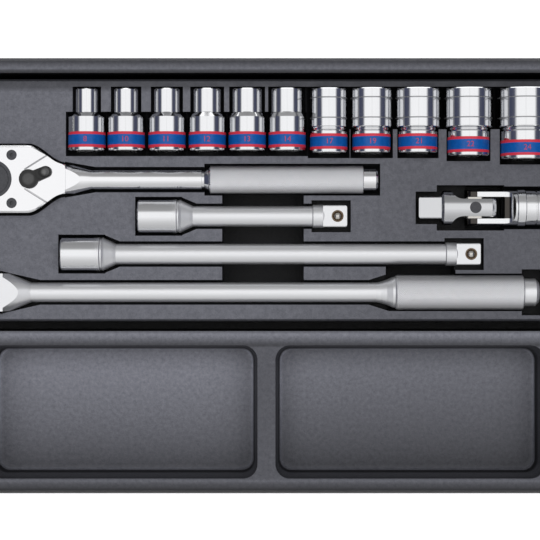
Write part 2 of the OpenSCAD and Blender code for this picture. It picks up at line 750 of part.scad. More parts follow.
module ratchet_gear() {
    gear_t = cover_z - cavity_bottom - 2 * slide_gap;
    square_top = -head_t / 2 - 0.4;
    color(dark_steel) translate([ratchet_x, ratchet_y, axis_z]) difference() {
        union() {
            translate([0, 0, cavity_bottom + slide_gap]) linear_extrude(gear_t) gear_plan(0);
            cylinder(r = hub_r, h = head_t / 2 - 0.1);
            translate([0, 0, square_top]) cylinder(r = hub_r - 1.6, h = -square_top);
            translate([0, 0, square_top + 0.01]) rotate([0, 90, 0]) drive_square(drive_l + 0.01);
        }
        // shallow turned dish in the visible hub
        translate([0, 0, head_t / 2 - 0.7]) cylinder(r1 = hub_r - 2.2, r2 = hub_r - 1.6, h = 1);
        translate([0, 0, square_top - drive_l / 2]) rotate([90, 0, 0]) detent_cut();
    }
}

// toothed rocker: the plunger holds one of its two ends against the gear
module ratchet_pawl() {
    z0 = cavity_bottom + slide_gap;
    color(dark_steel) translate([ratchet_x, ratchet_y, axis_z + z0]) difference() {
        linear_extrude(pawl_t) difference() {
            translate([pawl_pivot, 0]) rotate(-pawl_tilt / 2) translate([-pawl_pivot, 0]) intersection() {
                translate([9.4, -8.2]) square([pawl_pivot - 8.4, 16.4]);
                circle(pawl_pivot + 1.7);
            }
            for (t = [0 : 0.25 : 1])
                translate([pawl_pivot, 0]) rotate(-t * pawl_tilt) translate([-pawl_pivot, 0]) gear_plan(0.12);
        }
        translate([pawl_pivot, 0, -cut]) cylinder(r = 1.2 + running, h = 12);
    }
}

module ratchet_pawl_pin() {
    color(steel) translate([ratchet_x + pawl_pivot, ratchet_y, axis_z - head_t / 2 + 1.6])
        cylinder(r = 1.2 - push_gap, h = head_t / 2 - 1.6 + 4.4);
}

module reversing_lever() {
    stem_bottom = cavity_bottom + slide_gap;
    top = head_t / 2;
    color(dark_steel)
    translate([ratchet_x + lever_x, ratchet_y, axis_z]) rotate([0, 0, lever_throw]) difference() {
        union() {
            translate([0, 0, stem_bottom]) cylinder(r = 3.6, h = top - stem_bottom);
            translate([0, 0, top - 1]) cylinder(r = lever_cap_r, h = 3.2);
            translate([0, 0, top + 0.4]) linear_extrude(1.9) hull() {
                translate([2, 0]) circle(3.6, $fn = blend_fn);
                translate([11, 0]) circle(3.4, $fn = blend_fn);
            }
            translate([0, 0, top + 2.2]) linear_extrude(1.4) hull() {
                translate([8, 0]) circle(3, $fn = blend_fn);
                translate([11.6, 0]) circle(2.6, $fn = blend_fn);
            }
        }
        // thumb dish and the bore of the plunger
        translate([9.6, 0, top + 8]) sphere(r = 5.2);
        translate([cut, 0, cavity_bottom + 4.4]) rotate([0, -90, 0]) cylinder(r = 1.3, h = 5 + cut);
    }
}

module lever_plunger() {
    color(steel) translate([ratchet_x + lever_x, ratchet_y, axis_z]) rotate([0, 0, lever_throw])
        translate([-1.9, 0, cavity_bottom + 4.4]) rotate([0, -90, 0]) {
            cylinder(r = 1.2, h = 1.2);
            translate([0, 0, 1.1]) sphere(r = 1.2);
        }
}

module lever_spring() {
    color(steel) translate([ratchet_x + lever_x, ratchet_y, axis_z]) rotate([0, 0, lever_throw])
        translate([0.9, 0, cavity_bottom + 4.4]) rotate([0, -90, 0]) coil(0.85, 0.25, 0, 2.8, 3, 8);
}

// the ratchet's ball stands out of the square's front side
module at_anvil_ball() {
    translate([ratchet_x, ratchet_y, axis_z - head_t / 2 - 0.4 - drive_l / 2]) rotate([90, 0, 0]) children();
}

module anvil_ball() { at_anvil_ball() detent_ball(); }
module anvil_spring() { at_anvil_ball() detent_spring(); }

// ---------- extensions ----------

module extension_bar(l) {
    r = shank_d / 2;
    big = bell_d / 2;
    collar_x = l - drive_l - collar_l;
    color(chrome) difference() {
        union() {
            rotate([0, 90, 0]) rotate_extrude() polygon([
                [0, 0], [big - 0.7, 0], [big, 0.7], [big, bell_l - 2.4], [big - 0.5, bell_l - 1.8],
                [big - 0.5, bell_l - 1], [big - 0.1, bell_l - 0.4], [big - 0.7, bell_l + 0.6],
                [r + 0.9, bell_l + bell_cone_l - 1.8], [r, bell_l + bell_cone_l], [r, collar_x - 0.6],
                [collar_d / 2, collar_x], [collar_d / 2, collar_x + collar_l - 0.8],
                [collar_d / 2 - 0.8, collar_x + collar_l], [0, collar_x + collar_l]
            ]);
            translate([l - drive_l - cut, 0, 0]) drive_square(drive_l + cut);
        }
        translate([-cut, -drive_bore / 2, -drive_bore / 2])
            cube([drive_bore_l + cut, drive_bore, drive_bore]);
        translate([drive_bore_l / 2 - 1, 0, 0]) rotate([0, 90, 0]) cylinder(d = drive_bore + 1.8, h = 3.4);
        translate([l - drive_l / 2 + 1, 0, 0]) detent_cut();
    }
}

module at_short() { translate([short_x, short_y, axis_z]) children(); }
module at_long() { translate([long_x, long_y, axis_z]) children(); }
module at_tip(l) { translate([l - drive_l / 2 + 1, 0, 0]) children(); }

module short_extension() { at_short() extension_bar(short_l); }
module short_extension_ball() { at_short() at_tip(short_l) detent_ball(); }
module short_extension_spring() { at_short() at_tip(short_l) detent_spring(); }

// the long bar is one forging, drawn as its bell end and its bar, which meet past the square hole
module long_bar_part(x0, x1) {
    color(chrome) at_long() intersection() {
        extension_bar(long_l);
        translate([x0, -bell_d, -bell_d]) cube([x1 - x0, 2 * bell_d, 2 * bell_d]);
    }
}

module long_extension_bell() { long_bar_part(-1, drive_bore_l + 5); }
module long_extension() { long_bar_part(drive_bore_l + 5, long_l + 1); }
module long_extension_ball() { at_long() at_tip(long_l) detent_ball(); }
module long_extension_spring() { at_long() at_tip(long_l) detent_spring(); }

// ---------- flex handle ----------

module flex_handle() {
    r = flex_shank_d / 2;
    grip = flex_grip_d / 2;
    grip_x = flex_l - flex_end_l - flex_grip_l;
    cone_x = 15;
    cone_l = 17;
    slot_end = fork_w / 2 + 0.4;
    color(chrome) translate([flex_x, flex_y, axis_z]) difference() {
        union() {
            translate([0, 0, -fork_t / 2]) cylinder(d = fork_w, h = fork_t);
            translate([0, -fork_w / 2, -fork_t / 2]) cube([cone_x + cut, fork_w, fork_t]);
            // cone with the fork's flats run out into it
            intersection() {
                translate([cone_x, 0, 0]) rotate([0, 90, 0]) cylinder(r1 = 13, r2 = r, h = cone_l);
                translate([cone_x - cut, -fork_w / 2, -fork_t / 2]) cube([cone_l + 2 * cut, fork_w, fork_t]);
            }
            rotate([0, 90, 0]) rotate_extrude() polygon([
                [0, cone_x + 1], [r, cone_x + 1], [r, grip_x - 12], [r + 0.5, grip_x - 9],
                [r + 1.6, grip_x - 5.5], [r + 3.2, grip_x - 2], [grip - 0.8, grip_x - 0.6],
                [grip, grip_x + 0.4], [grip, grip_x + flex_grip_l - 0.8], [grip - 0.8, grip_x + flex_grip_l],
                [grip - 2, grip_x + flex_grip_l], [grip - 2, flex_l - 2], [grip - 4, flex_l], [0, flex_l]
            ]);
        }
        // slot for the swivel head's tongue, and the pin's bore
        translate([-fork_w, -fork_w, -tongue_t / 2 - slide_gap])
            cube([fork_w + slot_end, 2 * fork_w, tongue_t + 2 * slide_gap]);
        cylinder(d = pivot_d + 2 * push_gap, h = 2 * fork_t, center = true);
    }
}

module flex_swivel_head() {
    eye = fork_w / 2 - 0.4;
    collar_x = fork_w / 2 + 0.8;
    collar = swivel_collar_r;
    square_x = swivel_l - drive_l;
    color(chrome) translate([flex_x, flex_y, axis_z]) rotate([0, 0, 180]) difference() {
        union() {
            cylinder(r = eye, h = tongue_t, center = true);
            translate([0, -7.4, -tongue_t / 2]) cube([collar_x + cut, 14.8, tongue_t]);
            translate([collar_x, 0, 0]) rotate([0, 90, 0]) cylinder(r = collar, h = square_x - collar_x - 1);
            translate([square_x - 1, 0, 0]) rotate([0, 90, 0]) cylinder(r1 = collar, r2 = collar - 1, h = 1);
            translate([square_x - cut, 0, 0]) drive_square(drive_l + cut);
        }
        cylinder(d = pivot_d + 2 * running, h = fork_t, center = true);
        translate([swivel_l - drive_l / 2 + 1, 0, 0]) detent_cut();
    }
}

module flex_pivot_pin() {
    color(steel) translate([flex_x, flex_y, axis_z]) cylinder(d = pivot_d, h = fork_t - 0.4, center = true);
}

module at_flex_tip() {
    translate([flex_x - swivel_l + drive_l / 2 - 1, flex_y, axis_z]) children();
}

module flex_ball() { at_flex_tip() detent_ball(); }
module flex_ball_spring() { at_flex_tip() detent_spring(); }

// ---------- universal joint ----------

// the space beside a yoke's prongs, on both sides of the x axis, with a round run-out at x = 0
module prong_cut(half_w, run_r, d) {
    for (j = [-1, 1]) {
        translate([0, j * (half_w + run_r + running), 0]) cylinder(r = run_r, h = 2 * d, center = true);
        translate([-running, j > 0 ? half_w : -half_w - 2 * d, -d]) cube([2 * d, 2 * d, 2 * d]);
    }
}

module joint_square_yoke() {
    prong_end = square_prong_l;
    base = 18.4;
    run_r = 7;
    slot_start = centre_w / 2 + 4.2;
    slot_w = centre_w + 2 * slide_gap;
    r = yoke_d / 2;
    color(chrome) translate([cross_x, cross_y, axis_z]) difference() {
        union() {
            rotate([0, 90, 0]) rotate_extrude() polygon([
                [0, -base - 1.4], [r - 1.8, -base - 1.4], [r, -base], [r, prong_end - 2.4],
                [r - 2.2, prong_end], [0, prong_end]
            ]);
            translate([-base, 0, 0]) rotate([0, 0, 180]) drive_square(yoke_male_l - base);
        }
        // sides cut away beside the prongs, then the slot between them
        translate([-run_r - 0.1, 0, 0]) prong_cut(prong_w / 2, run_r, yoke_d);
        translate([-slot_start, -yoke_d, -slot_w / 2]) cube([yoke_d * 2, 2 * yoke_d, slot_w]);
        cylinder(d = cross_pin_d + 2 * push_gap, h = 2 * yoke_d, center = true);
        translate([-yoke_male_l + drive_l / 2 - 1, 0, 0]) rotate([180, 0, 0]) detent_cut();
    }
}

module joint_socket_yoke() {
    prong_r = 5.6;
    slot_end = 17.9;
    slot_w = centre_l + 2 * slide_gap;
    run_r = 6;
    ring_x = 25;
    r = yoke_d / 2 + 0.4;
    l = yoke_female_l;
    color(chrome) translate([cross_x, cross_y, axis_z]) difference() {
        rotate([0, 90, 0]) rotate_extrude() polygon([
            [0, -prong_r - 1], [r, -prong_r - 1], [r, ring_x], [r + 0.5, ring_x + 0.5],
            [r + 0.5, ring_x + 4.8], [r, ring_x + 5.3], [r, l - 5.4], [r - 0.4, l - 5.2], [r - 0.4, l - 4.6],
            [r, l - 4.4], [r, l - 0.8], [r - 0.8, l], [0, l]
        ]);
        // round ends of the prongs
        difference() {
            translate([-yoke_d, -yoke_d, -yoke_d]) cube([yoke_d, 2 * yoke_d, 2 * yoke_d]);
            rotate([90, 0, 0]) cylinder(r = prong_r, h = 3 * yoke_d, center = true);
        }
        // prongs thinned above and below, then the slot between them
        translate([slot_end, 0, 0]) rotate([90, 0, 0]) rotate([0, 0, 180])
            prong_cut(prong_w / 2, run_r, yoke_d);
        translate([-yoke_d, -slot_w / 2, -yoke_d]) cube([yoke_d + slot_end, slot_w, 2 * yoke_d]);
        rotate([90, 0, 0]) cylinder(d = cross_pin_d + 2 * push_gap, h = 3 * r, center = true);
        translate([l - drive_bore_l, -drive_bore / 2, -drive_bore / 2])
            cube([drive_bore_l + cut, drive_bore, drive_bore]);
        translate([l - drive_bore_l / 2 - 2.4, 0, 0]) rotate([0, 90, 0])
            cylinder(d = drive_bore + 1.8, h = 3.4);
    }
}

module joint_centre_block() {
    color(steel) translate([cross_x, cross_y, axis_z]) difference() {
        intersection() {
            cube([centre_w, centre_l, centre_w], center = true);
            rotate([90, 0, 0]) cylinder(r = centre_w * 0.62, h = 2 * centre_l, center = true);
            cylinder(r = centre_l * 0.6, h = 2 * centre_w, center = true);
        }
        cylinder(d = cross_pin_d + 2 * running, h = 2 * centre_w, center = true);
        rotate([90, 0, 0]) cylinder(d = cross_pin_d + 2 * running, h = 2 * centre_l, center = true);
    }
}

module joint_square_pin() {
    color(dark_steel) translate([cross_x, cross_y, axis_z])
        cylinder(d = cross_pin_d, h = yoke_d - 1.2, center = true);
}

// two short pins, one each side of the long one
module joint_socket_pins() {
    out = yoke_d / 2 - 0.4;
    gap = 0.15;
    color(dark_steel) translate([cross_x, cross_y, axis_z])
        for (j = [-1, 1]) translate([0, j * (cross_pin_d / 2 + gap), 0]) rotate([-90 * j, 0, 0])
            cylinder(d = cross_pin_d, h = out - cross_pin_d / 2 - gap);
}

module at_joint_ball() {
    translate([cross_x - yoke_male_l + drive_l / 2 - 1, cross_y, axis_z]) rotate([180, 0, 0]) children();
}

module joint_ball() { at_joint_ball() detent_ball(); }
module joint_ball_spring() { at_joint_ball() detent_spring(); }

tray();
insert_heads();
insert_sockets_left();
insert_sockets_right();
insert_tools_left();
insert_tools_right();
socket(0);  // socket_08
socket(1);  // socket_10
socket(2);  // socket_11
socket(3);  // socket_12
socket(4);  // socket_13
socket(5);  // socket_14
socket(6);  // socket_17
socket(7);  // socket_19
socket(8);  // socket_21
socket(9);  // socket_22
socket(10);  // socket_24
size_band(0);  // size_band_08
size_band(1);  // size_band_10
size_band(2);  // size_band_11
size_band(3);  // size_band_12
size_band(4);  // size_band_13
size_band(5);  // size_band_14
size_band(6);  // size_band_17
size_band(7);  // size_band_19
size_band(8);  // size_band_21
size_band(9);  // size_band_22
size_band(10);  // size_band_24
ratchet_handle();
ratchet_cover_plate();
ratchet_cover_screws();
ratchet_gear();
ratchet_pawl();
ratchet_pawl_pin();
reversing_lever();
lever_plunger();
lever_spring();
anvil_ball();
anvil_spring();
short_extension();
short_extension_ball();
short_extension_spring();
long_extension_bell();
long_extension();
long_extension_ball();
long_extension_spring();
flex_handle();
flex_swivel_head();
flex_pivot_pin();
flex_ball();
flex_ball_spring();
joint_socket_yoke();
joint_square_yoke();
joint_centre_block();
joint_square_pin();
joint_socket_pins();
joint_ball();
joint_ball_spring();
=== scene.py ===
"""Half-inch-drive socket wrench set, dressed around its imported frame."""

import math

import bpy
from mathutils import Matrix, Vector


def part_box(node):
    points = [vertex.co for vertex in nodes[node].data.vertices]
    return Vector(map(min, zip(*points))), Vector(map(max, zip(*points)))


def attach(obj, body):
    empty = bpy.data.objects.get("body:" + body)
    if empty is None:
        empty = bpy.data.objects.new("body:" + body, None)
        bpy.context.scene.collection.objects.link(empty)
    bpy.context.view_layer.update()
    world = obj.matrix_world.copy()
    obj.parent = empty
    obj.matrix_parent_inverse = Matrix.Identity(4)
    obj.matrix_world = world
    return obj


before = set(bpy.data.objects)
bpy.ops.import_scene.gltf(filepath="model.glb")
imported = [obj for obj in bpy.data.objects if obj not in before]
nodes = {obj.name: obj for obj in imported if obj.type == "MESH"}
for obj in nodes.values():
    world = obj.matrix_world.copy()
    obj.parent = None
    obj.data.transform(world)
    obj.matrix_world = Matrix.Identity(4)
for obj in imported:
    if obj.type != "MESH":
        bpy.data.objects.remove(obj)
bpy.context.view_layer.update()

# ---------------------------------------------------------------- studio
# The set lies on a white table under one wide softbox.
# The camera looks straight down on the middle of it.

camera_height = 1.0
tool_top_z = 0.041
view_width = 0.3195
view_middle = (0.0021, 0.0034)
sensor_width = 36.0

camera = bpy.data.objects.new("camera", bpy.data.cameras.new("camera"))
bpy.context.scene.collection.objects.link(camera)
camera.location = (*view_middle, tool_top_z + camera_height)
camera.data.sensor_width = sensor_width
camera.data.lens = sensor_width * camera_height / view_width
camera.data.clip_start = 0.01
bpy.context.scene.camera = camera
bpy.context.scene.view_settings.view_transform = "Standard"


def link(tree, source, target):
    """Joins two sockets of one node tree."""
    tree.links.new(source, target)


def calculate(tree, operation, *values):
    """A Math node on numbers or sockets, and its result."""
    node = tree.nodes.new("ShaderNodeMath")
    node.operation = operation
    for socket, value in zip(node.inputs, values):
        if isinstance(value, (int, float)):
            socket.default_value = value
        else:
            link(tree, value, socket)
    return node.outputs[0]


def ramp(tree, value, stops):
    """A colour ramp through (position, grey or colour) stops."""
    node = tree.nodes.new("ShaderNodeValToRGB")
    points = node.color_ramp.elements
    while len(points) < len(stops):
        points.new(0.5)
    for point, (position, tone) in zip(points, stops):
        point.position = position
        point.color = (*tone, 1) if isinstance(tone, tuple) else (tone, tone, tone, 1)
    link(tree, value, node.inputs[0])
    return node.outputs[0]


def mix_colours(tree, factor, first, second, blend="MIX"):
    """A Mix node on two colours or sockets, and its result."""
    node = tree.nodes.new("ShaderNodeMix")
    node.data_type = "RGBA"
    node.blend_type = blend
    sockets = node.inputs["Factor"], node.inputs[6], node.inputs[7]
    for socket, value in zip(sockets, (factor, first, second)):
        if isinstance(value, float):
            socket.default_value = value
        elif isinstance(value, tuple):
            socket.default_value = (*value, 1)
        else:
            link(tree, value, socket)
    return node.outputs[2]


def axes_of(tree, vector):
    """A vector's X, Y and Z."""
    node = tree.nodes.new("ShaderNodeSeparateXYZ")
    link(tree, vector, node.inputs[0])
    return node.outputs


world = bpy.data.worlds.new("studio")
bpy.context.scene.world = world
world.use_nodes = True
sky = world.node_tree
sky.nodes.clear()
way = axes_of(sky, sky.nodes.new("ShaderNodeTexCoord").outputs["Generated"])
# white overhead, a dark gap to the left and right of it, and pale low walls
across = ramp(
    sky,
    calculate(sky, "ABSOLUTE", way["X"]),
    [
        (0.0, 0.84), (0.05, 1.0), (0.62, 0.98), (0.76, (0.085, 0.09, 0.125)), (0.95, (0.05, 0.056, 0.095)),
        (0.985, 0.26), (1.0, 0.30),
    ],
)
# the softbox leans towards the row of sockets
along = ramp(
    sky,
    calculate(sky, "MULTIPLY_ADD", way["Y"], 0.5, 0.5),
    [(0.0, 0.52), (0.17, 0.68), (0.27, 0.80), (0.44, 1.0), (0.70, 1.0), (0.80, 0.36), (1.0, 0.28)],
)
room = sky.nodes.new("ShaderNodeBackground")
room.inputs["Strength"].default_value = 1.25
link(sky, mix_colours(sky, 1.0, across, along, "MULTIPLY"), room.inputs["Color"])
backdrop = sky.nodes.new("ShaderNodeBackground")
backdrop.inputs["Color"].default_value = (1, 1, 1, 1)
choice = sky.nodes.new("ShaderNodeMixShader")
link(sky, sky.nodes.new("ShaderNodeLightPath").outputs["Is Camera Ray"], choice.inputs[0])
link(sky, room.outputs[0], choice.inputs[1])
link(sky, backdrop.outputs[0], choice.inputs[2])
link(sky, choice.outputs[0], sky.nodes.new("ShaderNodeOutputWorld").inputs[0])

softbox_back, softbox_height = 0.36, 1.1
softbox = bpy.data.objects.new("softbox", bpy.data.lights.new("softbox", "AREA"))
bpy.context.scene.collection.objects.link(softbox)
softbox.data.shape = "RECTANGLE"
softbox.data.size, softbox.data.size_y = 1.3, 0.6
softbox.data.energy = 9.0
softbox.location = (0.0, softbox_back, softbox_height)
softbox.rotation_euler = (-math.atan2(softbox_back, softbox_height), 0, 0)
softbox.visible_glossy = False

table_reach = 3
table_glow = 0.8
table = bpy.data.objects.new("table", bpy.data.meshes.new("table"))
bpy.context.scene.collection.objects.link(table)
table_corners = [(x * table_reach, y * table_reach, 0) for x, y in ((-1, -1), (1, -1), (1, 1), (-1, 1))]
table.data.from_pydata(table_corners, [], [(0, 1, 2, 3)])
cloth = bpy.data.materials.new("white_table")
cloth.use_nodes = True
tree = cloth.node_tree
plain = tree.nodes["Principled BSDF"]
plain.inputs["Base Color"].default_value = (0.8, 0.8, 0.8, 1)
plain.inputs["Roughness"].default_value = 0.9
glow = tree.nodes.new("ShaderNodeEmission")
glow.inputs["Strength"].default_value = table_glow
both = tree.nodes.new("ShaderNodeAddShader")
link(tree, plain.outputs[0], both.inputs[0])
link(tree, glow.outputs[0], both.inputs[1])
# the table is white to the camera and in the chrome, and throws no extra light on the tools
seen = tree.nodes.new("ShaderNodeLightPath")
direct = calculate(tree, "MAXIMUM", seen.outputs["Is Camera Ray"], seen.outputs["Is Glossy Ray"])
choice = tree.nodes.new("ShaderNodeMixShader")
link(tree, direct, choice.inputs[0])
link(tree, plain.outputs[0], choice.inputs[1])
link(tree, both.outputs[0], choice.inputs[2])
link(tree, choice.outputs[0], tree.nodes["Material Output"].inputs["Surface"])
table.data.materials.append(cloth)

# ---------------------------------------------------------------- tray and insert
# Both are vacuum-formed from dark grey plastic sheet with a fine leathery grain.
# The insert drops into the tray's well and carries every tool.


def finish_material(name, colour, metallic=0.0, roughness=0.5):
    """A new material with a Principled shader, and its tree and shader."""
    material = bpy.data.materials.new(name)
    material.use_nodes = True
    shader = material.node_tree.nodes["Principled BSDF"]
    shader.inputs["Base Color"].default_value = (*colour, 1)
    shader.inputs["Metallic"].default_value = metallic
    shader.inputs["Roughness"].default_value = roughness
    return material, material.node_tree, shader


def place(tree, scale=(1, 1, 1)):
    """The surface's own position in metres, stretched by scale."""
    mapping = tree.nodes.new("ShaderNodeMapping")
    mapping.inputs["Scale"].default_value = scale
    link(tree, tree.nodes.new("ShaderNodeTexCoord").outputs["Object"], mapping.inputs["Vector"])
    return mapping.outputs[0]


def noise(tree, scale, detail=3.0, roughness=0.5, stretch=(1, 1, 1)):
    """A noise texture's value over the surface."""
    node = tree.nodes.new("ShaderNodeTexNoise")
    node.inputs["Scale"].default_value = scale
    node.inputs["Detail"].default_value = detail
    node.inputs["Roughness"].default_value = roughness
    link(tree, place(tree, stretch), node.inputs["Vector"])
    return node.outputs["Fac"]


def bump(tree, shader, height, distance, strength=1.0):
    """Raises the shader's surface by height."""
    node = tree.nodes.new("ShaderNodeBump")
    node.inputs["Strength"].default_value = strength
    node.inputs["Distance"].default_value = distance
    link(tree, height, node.inputs["Height"])
    link(tree, node.outputs[0], shader.inputs["Normal"])


def grained_plastic(name, dark, pale):
    """Dark sheet plastic with a leathery grain: its material, tree, shader and colour."""
    material, tree, shader = finish_material(name, pale, roughness=0.55)
    shader.inputs["Specular IOR Level"].default_value = 0.35
    fine = noise(tree, 1300.0, 4.0, 0.6)
    coarse = noise(tree, 420.0, 2.0, 0.5)
    grain = calculate(tree, "MULTIPLY_ADD", coarse, 0.5, calculate(tree, "MULTIPLY", fine, 0.5))
    bump(tree, shader, grain, 0.0004)
    return material, tree, shader, ramp(tree, grain, [(0.32, dark), (0.68, pale)])


def shade_by(tree, shader, colour, *tones):
    """Multiplies the plastic's colour by tones of its place, which paint light and shade into it."""
    tone = tones[0]
    for other in tones[1:]:
        tone = calculate(tree, "MULTIPLY", tone, other)
    link(tree, mix_colours(tree, 1.0, colour, tone, "MULTIPLY"), shader.inputs["Base Color"])


def dress(material, *names):
    """Gives CAD nodes their finish."""
    for name in names:
        nodes[name].data.materials.clear()
        nodes[name].data.materials.append(material)


# the tray is deep-drawn; painted shade makes its walls read darker than its rim and floors
tray_plastic, tree, shader, colour = grained_plastic(
    "tray_plastic", (0.078, 0.080, 0.096), (0.130, 0.132, 0.153)
)
at = axes_of(tree, place(tree))
insert_gap = 0.0006
land_w = 0.0084
land_round = 0.001
end_wall = 0.006
end_tone = 0.42
floor_level, top_level = 0.36, 0.97
tray_low, tray_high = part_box("tray")
tray_w, tray_l = tray_high.y - tray_low.y, tray_high.x - tray_low.x
insert_fields = [name for name in nodes if "insert" in name]
field_boxes = [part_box(name) for name in insert_fields]
block_low_y = min(low.y for low, high in field_boxes)
block_high_y = max(high.y for low, high in field_boxes)
block_high_z = max(high.z for low, high in field_boxes)
well_middle = (block_low_y + block_high_y) / 2
well_half = (block_high_y - block_low_y) / 2 + insert_gap
well_low, well_high = well_middle - well_half, well_middle + well_half
bins_low = tray_low.y + (tray_high.y - well_high)
bins_high = well_low - land_w
height = calculate(tree, "DIVIDE", at["Z"], tray_high.z)
from_well = calculate(tree, "ABSOLUTE", calculate(tree, "SUBTRACT", at["Y"], well_middle))
in_well = calculate(tree, "LESS_THAN", from_well, well_half)
in_bins = calculate(
    tree, "MULTIPLY",
    calculate(tree, "GREATER_THAN", at["Y"], bins_low),
    calculate(tree, "LESS_THAN", at["Y"], bins_high + land_round),
)
# painted shade: below the rim, the well round the insert is painted near black
well_painted_shade = ramp(tree, height, [(0.0, 0.02), (0.94, 0.05), (0.985, 1.0)])
# painted highlight along the fillet at the foot of the bins' walls, and painted shade on the walls above it
wall_painted_light = ramp(
    tree, height,
    [
        (0.0, 1.0), (0.322, 1.0), (0.335, 1.7), (0.36, 1.0), (0.385, 0.3), (0.42, 0.03), (0.52, 0.06),
        (0.60, 0.36), (0.76, 0.34), (0.95, 0.18), (0.97, 0.3),
    ],
)
# painted light on the floors: palest at the back and to the left, with a painted shadow under the back wall
floor_light = calculate(
    tree, "MULTIPLY",
    ramp(
        tree,
        calculate(tree, "DIVIDE", calculate(tree, "SUBTRACT", at["Y"], bins_low), bins_high - bins_low),
        [(0.05, 0.46), (0.5, 1.05), (0.93, 1.62), (0.955, 1.2), (0.975, 0.2), (1.0, 0.15)],
    ),
    ramp(
        tree,
        calculate(tree, "MULTIPLY_ADD", at["X"], 1.0 / tray_l, 0.5),
        [(0.0, 0.75), (0.2, 1.0), (0.4, 1.0), (0.6, 0.78), (0.8, 0.70), (1.0, 0.5)],
    ),
)
on_floor = calculate(tree, "LESS_THAN", height, floor_level)
floor_tone = calculate(
    tree, "ADD",
    calculate(tree, "MULTIPLY", floor_light, on_floor),
    calculate(tree, "SUBTRACT", 1.0, on_floor),
)
# painted light on top: what faces the middle of the tray is painted lit, and what faces away from it is
# painted darker
top_stops = [
    (tray_low.y, 0.2), (tray_low.y + 0.0026, 0.10), (tray_low.y + 0.0034, 0.19),
    (tray_low.y + 0.0046, 0.31), (bins_low - 0.0028, 0.46), (bins_low - 0.0012, 0.8),
    (bins_low - 0.0008, 0.9), (bins_low, 0.58), (bins_high - 0.0005, 0.60), (bins_high, 0.22),
    (bins_high + 0.003, 0.70), (bins_high + 0.0068, 1.36), (well_low, 0.7), (well_high, 0.2),
    (well_high + 0.0013, 0.34), (well_high + 0.0023, 0.95), (tray_high.y - 0.0047, 0.56),
    (tray_high.y - 0.0028, 0.28), (tray_high.y - 0.001, 0.3), (tray_high.y, 0.6),
]
top_painted_light = ramp(
    tree,
    calculate(tree, "DIVIDE", calculate(tree, "SUBTRACT", at["Y"], tray_low.y), tray_w),
    [((y - tray_low.y) / tray_w, tone) for y, tone in top_stops],
)
# the outer slope of the rim shares the top's tone
on_top = calculate(
    tree, "MAXIMUM",
    calculate(tree, "GREATER_THAN", height, top_level),
    calculate(tree, "SUBTRACT", 1.0, calculate(tree, "ADD", in_well, in_bins)),
)
inside = calculate(
    tree, "ADD",
    calculate(tree, "MULTIPLY", well_painted_shade, in_well),
    calculate(tree, "MULTIPLY", in_bins, calculate(tree, "MULTIPLY", wall_painted_light, floor_tone)),
)
middle_tone = calculate(
    tree, "ADD",
    calculate(tree, "MULTIPLY", top_painted_light, on_top),
    calculate(tree, "MULTIPLY", inside, calculate(tree, "SUBTRACT", 1.0, on_top)),
)
# the outer walls of both ends are one plain tone
at_end = calculate(
    tree, "MULTIPLY",
    calculate(tree, "GREATER_THAN", calculate(tree, "ABSOLUTE", at["X"]), tray_high.x - end_wall),
    calculate(tree, "LESS_THAN", height, top_level),
)
tray_tone = calculate(
    tree, "ADD",
    calculate(tree, "MULTIPLY", middle_tone, calculate(tree, "SUBTRACT", 1.0, at_end)),
    calculate(tree, "MULTIPLY", at_end, end_tone),
)
shade_by(tree, shader, colour, tray_tone)
dress(tray_plastic, "tray")

# painted shade: the insert's seats are painted dark below its top face
insert_plastic, tree, shader, colour = grained_plastic(
    "insert_plastic", (0.070, 0.072, 0.086), (0.120, 0.122, 0.142)
)
at = axes_of(tree, place(tree))
edge_strip = 0.02
depth_painted_shade = ramp(
    tree,
    calculate(tree, "DIVIDE", at["Z"], block_high_z),
    [(0.0, 0.06), (0.85, 0.08), (0.955, 0.22), (0.985, 0.55), (0.999, 1.0)],
)
# painted shade: its far edge is painted darker where it turns away from the light, and so is its right end
edge_light = ramp(
    tree,
    calculate(tree, "DIVIDE", calculate(tree, "SUBTRACT", block_high_y, at["Y"]), edge_strip),
    [(0.0, 0.38), (0.04, 0.62), (0.12, 0.70), (0.19, 0.42), (0.40, 0.50), (0.55, 1.0)],
)
side_light = ramp(
    tree,
    calculate(tree, "MULTIPLY_ADD", at["X"], 1.0 / tray_l, 0.5),
    [(0.0, 1.0), (0.45, 1.0), (0.7, 0.74), (1.0, 0.70)],
)
shade_by(tree, shader, colour, depth_painted_shade, edge_light, side_light)
dress(insert_plastic, *insert_fields)

# ---------------------------------------------------------------- sockets and bands
# Chrome-vanadium sockets, turned, broached and mirror-plated.
# Each wears a blue band with two red edges that shows the size.

size_names = ["08", "10", "11", "12", "13", "14", "17", "19", "21", "22", "24"]


def roughen(tree, shader, texture, stops):
    """Lets the roughness follow a texture through stops."""
    link(tree, ramp(tree, texture, stops), shader.inputs["Roughness"])


mirror_chrome, tree, shader = finish_material("mirror_chrome", (0.70, 0.705, 0.72), 1.0, 0.05)
roughen(tree, shader, noise(tree, 90.0, 5.0, 0.6), [(0.3, 0.07), (0.8, 0.16)])
bump(tree, shader, noise(tree, 260.0, stretch=(1, 0.25, 1)), 0.00002, 0.5)
dress(mirror_chrome, *[f"socket_{name}" for name in size_names])

